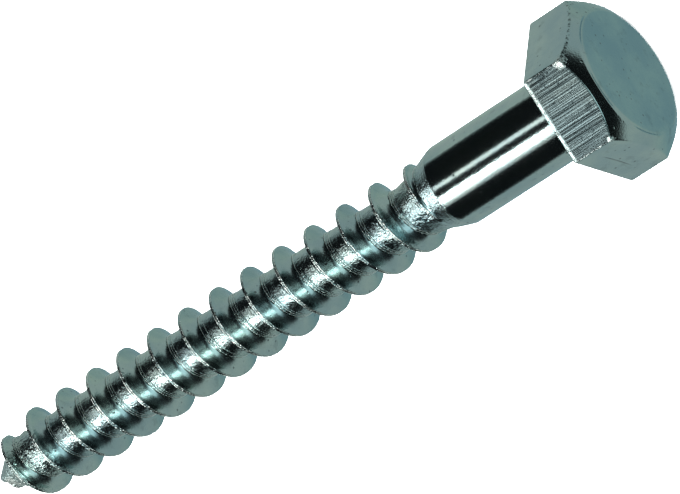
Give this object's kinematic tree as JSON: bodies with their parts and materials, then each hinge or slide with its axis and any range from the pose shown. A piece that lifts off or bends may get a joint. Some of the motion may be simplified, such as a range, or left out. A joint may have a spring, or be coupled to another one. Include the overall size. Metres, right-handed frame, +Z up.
{
  "type": "lag screw",
  "caption": "Hexagon-head wood screw with a plain shank, a coarse thread and a blunt point, for bolting timber.",
  "frame": {"origin": "on the surface that the screw lies on, under the middle of its box", "axes": "+X runs from the point to the head, whose end stands a little higher; +Z is up; the flat that faces up is the worn one"},
  "size_m": [0.0714, 0.015, 0.0132],
  "materials": {
    "zinc_plated_steel": "bright zinc plating, faintly blue-green, on cold-formed steel"
  },
  "bodies": {
    "root": {"lag_screw": "zinc_plated_steel"}
  },
  "joints": []
}
